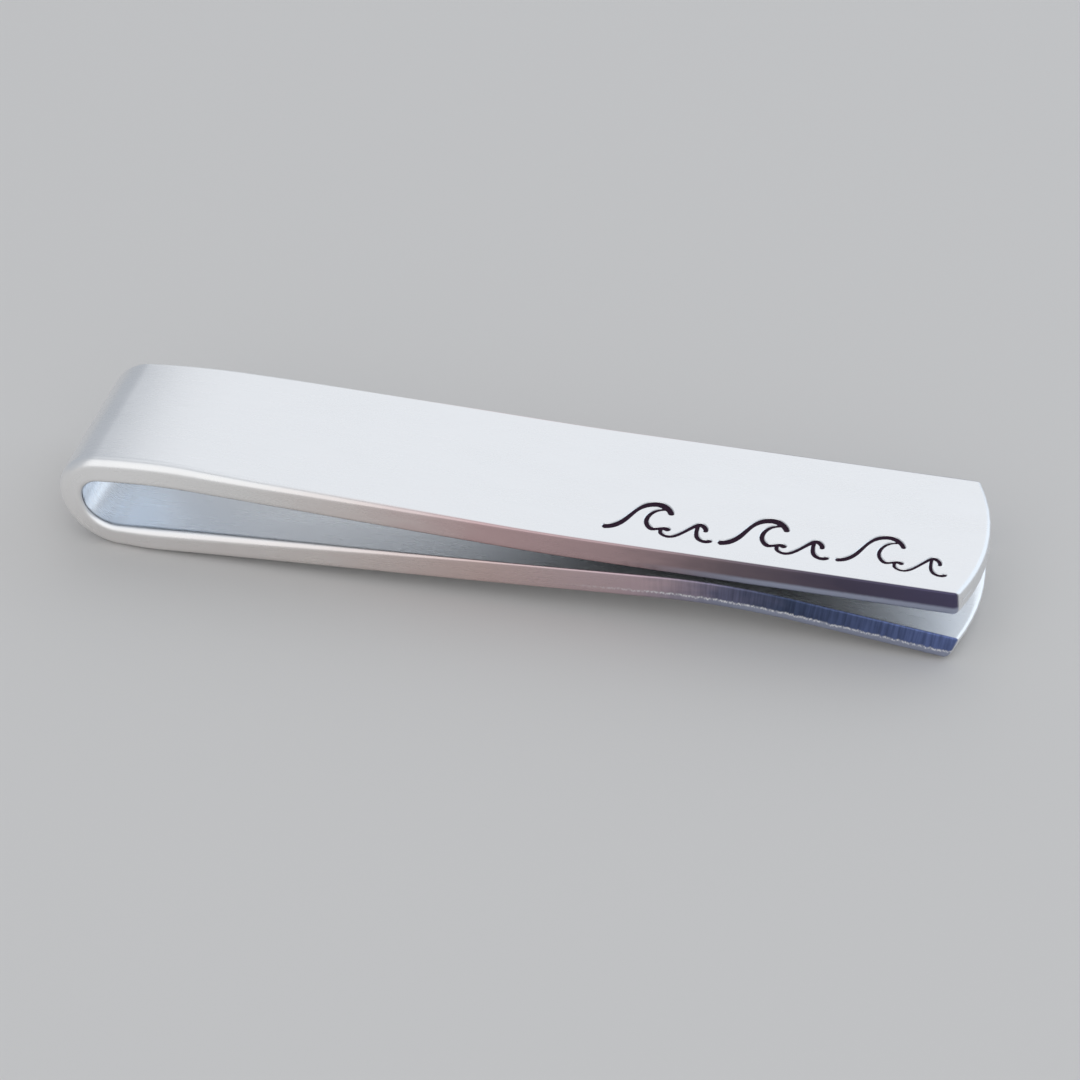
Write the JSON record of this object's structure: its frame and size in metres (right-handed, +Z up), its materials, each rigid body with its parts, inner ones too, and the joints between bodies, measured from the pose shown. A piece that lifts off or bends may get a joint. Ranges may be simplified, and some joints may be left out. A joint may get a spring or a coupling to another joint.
{
  "type": "money clip",
  "caption": "Slim spring clip bent from a metal strip, with legs that pinch near the front, flared arc-ended tips and inked wave stamps along one edge.",
  "frame": {"origin": "middle of the bounding box's bottom, on the table that the clip lies on", "axes": "+X along the clip from the bow to the tips, +Y across the strip away from the stamped edge, +Z up through the stamped face"},
  "size_m": [0.0524, 0.011, 0.0061],
  "materials": {
    "strip": "satin, lightly brushed, polished rounded edges",
    "ink": "dark matte ink wiped into the stamps"
  },
  "bodies": {
    "lower_arm": {"lower_leg": "strip", "lower_bend": "strip"},
    "upper_arm": {"upper_bend": "strip", "upper_leg": "strip", "wave_ink_1": "ink", "wave_ink_2": "ink", "wave_ink_3": "ink"}
  },
  "joints": [
    {"name": "bow_flex", "type": "hinge", "parent": "lower_arm", "child": "upper_arm", "pos_m": [-0.02625, 0, 0.00335], "axis": [0, -1, 0], "range_deg": [0, 6], "stiffness_Nm_per_rad": 6.8, "springref_deg": -0.57}
  ]
}
